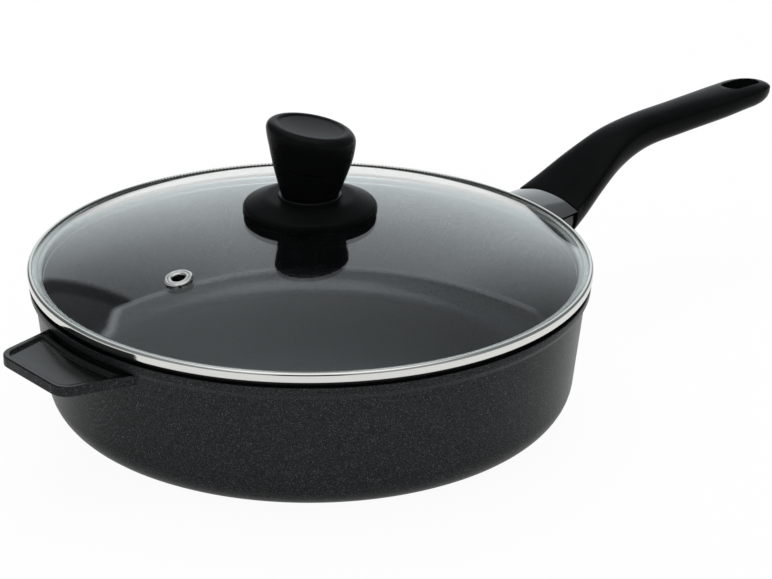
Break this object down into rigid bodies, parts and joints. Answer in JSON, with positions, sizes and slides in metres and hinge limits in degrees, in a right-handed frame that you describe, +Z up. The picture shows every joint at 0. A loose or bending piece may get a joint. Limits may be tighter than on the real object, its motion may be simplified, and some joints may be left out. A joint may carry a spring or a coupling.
{
  "type": "frying pan with lid",
  "caption": "deep round frying pan with a domed glass lid, slanted lid knob, steam vent, long swept grip and a cast helper handle",
  "frame": {"origin": "centre of the base, on the surface that the pan stands on", "axes": "+X along the long handle, +Z up, -X along the helper handle"},
  "size_m": [0.5191, 0.288, 0.1504],
  "materials": {
    "coated_casting": "matte dark grey non-stick coating with fine metallic flecks",
    "base_steel": "turned stainless steel",
    "guard_enamel": "smooth glossy dark grey",
    "soft_touch": "black soft-touch over heat-proof plastic",
    "fastener_steel": "bright steel",
    "lid_glass": "clear tempered glass",
    "band_steel": "polished stainless steel",
    "insert_brass": "plain turned brass",
    "seal": "black silicone"
  },
  "bodies": {
    "pan": {"pan_body": "coated_casting", "induction_plate": "base_steel", "flame_guard": "guard_enamel", "handle_grip": "soft_touch", "handle_screw": "fastener_steel", "handle_washer": "fastener_steel"},
    "lid": {"lid_glass": "lid_glass", "lid_band": "band_steel", "vent_eyelet": "band_steel", "vent_washer": "band_steel", "knob_skirt": "soft_touch", "knob_stem": "soft_touch", "knob_cap": "soft_touch", "knob_insert": "insert_brass", "knob_screw": "fastener_steel", "knob_washer": "fastener_steel", "knob_gasket_upper": "seal", "knob_gasket_lower": "seal"}
  },
  "joints": [
    {"name": "lid_lift", "type": "slide", "parent": "pan", "child": "lid", "axis": [0, 0, 1], "range_m": [0, 0.1]}
  ]
}
